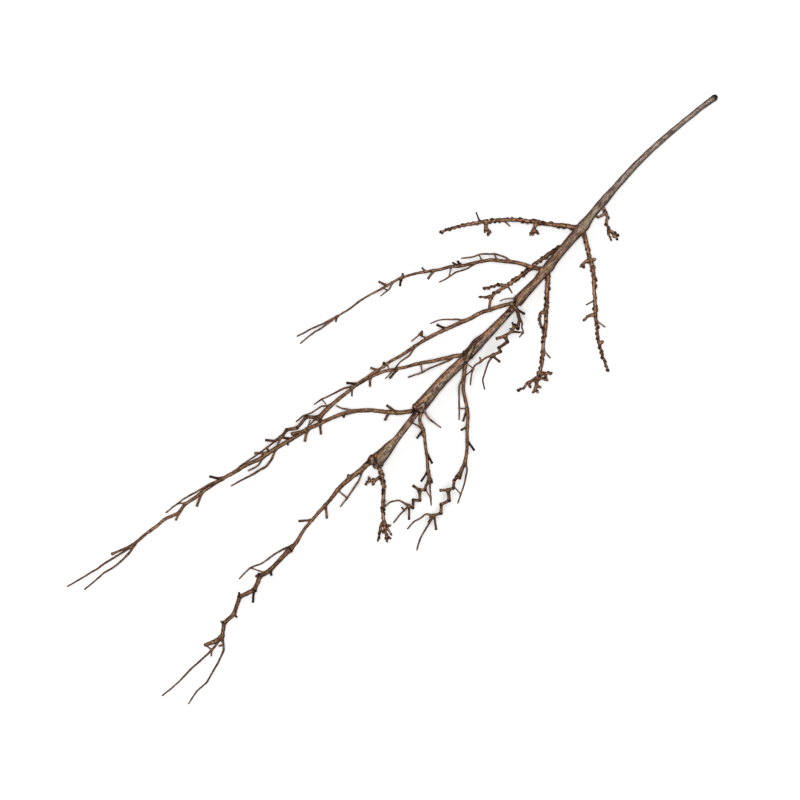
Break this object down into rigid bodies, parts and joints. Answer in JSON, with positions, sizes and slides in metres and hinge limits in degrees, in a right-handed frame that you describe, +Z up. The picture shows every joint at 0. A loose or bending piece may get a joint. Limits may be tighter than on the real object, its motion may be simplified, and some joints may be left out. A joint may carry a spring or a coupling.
{
  "type": "forsythia branch",
  "caption": "Bare branch lying flat: a tapering bark-brown stem of plugged sleeves, with knobbly and smooth side twigs that fork into fine tips.",
  "frame": {"origin": "centre of the bounding box at its bottom, on the surface that the branch lies on", "axes": "+X runs from the cut end to the tips, +Z is up from the surface"},
  "size_m": [1.2192, 0.3578, 0.0849],
  "materials": {
    "bark_grey": "matte grey-brown bark",
    "bark_brown": "matte brown bark with orange and dark streaks",
    "bark_knobbly": "matte warm brown bark",
    "bark_smooth": "matte red-brown bark"
  },
  "bodies": {
    "root": {"stem_lower": "bark_grey", "stem_second": "bark_brown", "stem_third": "bark_brown", "stem_end": "bark_brown", "twig_a": "bark_knobbly", "twig_b": "bark_knobbly", "twig_c": "bark_knobbly", "twig_d": "bark_knobbly", "twig_e": "bark_knobbly", "twig_f": "bark_knobbly", "twig_g": "bark_smooth", "twig_h": "bark_smooth", "twig_j": "bark_smooth", "twig_k": "bark_smooth", "twig_l": "bark_smooth", "twig_m": "bark_smooth", "twig_n": "bark_smooth"}
  },
  "joints": []
}
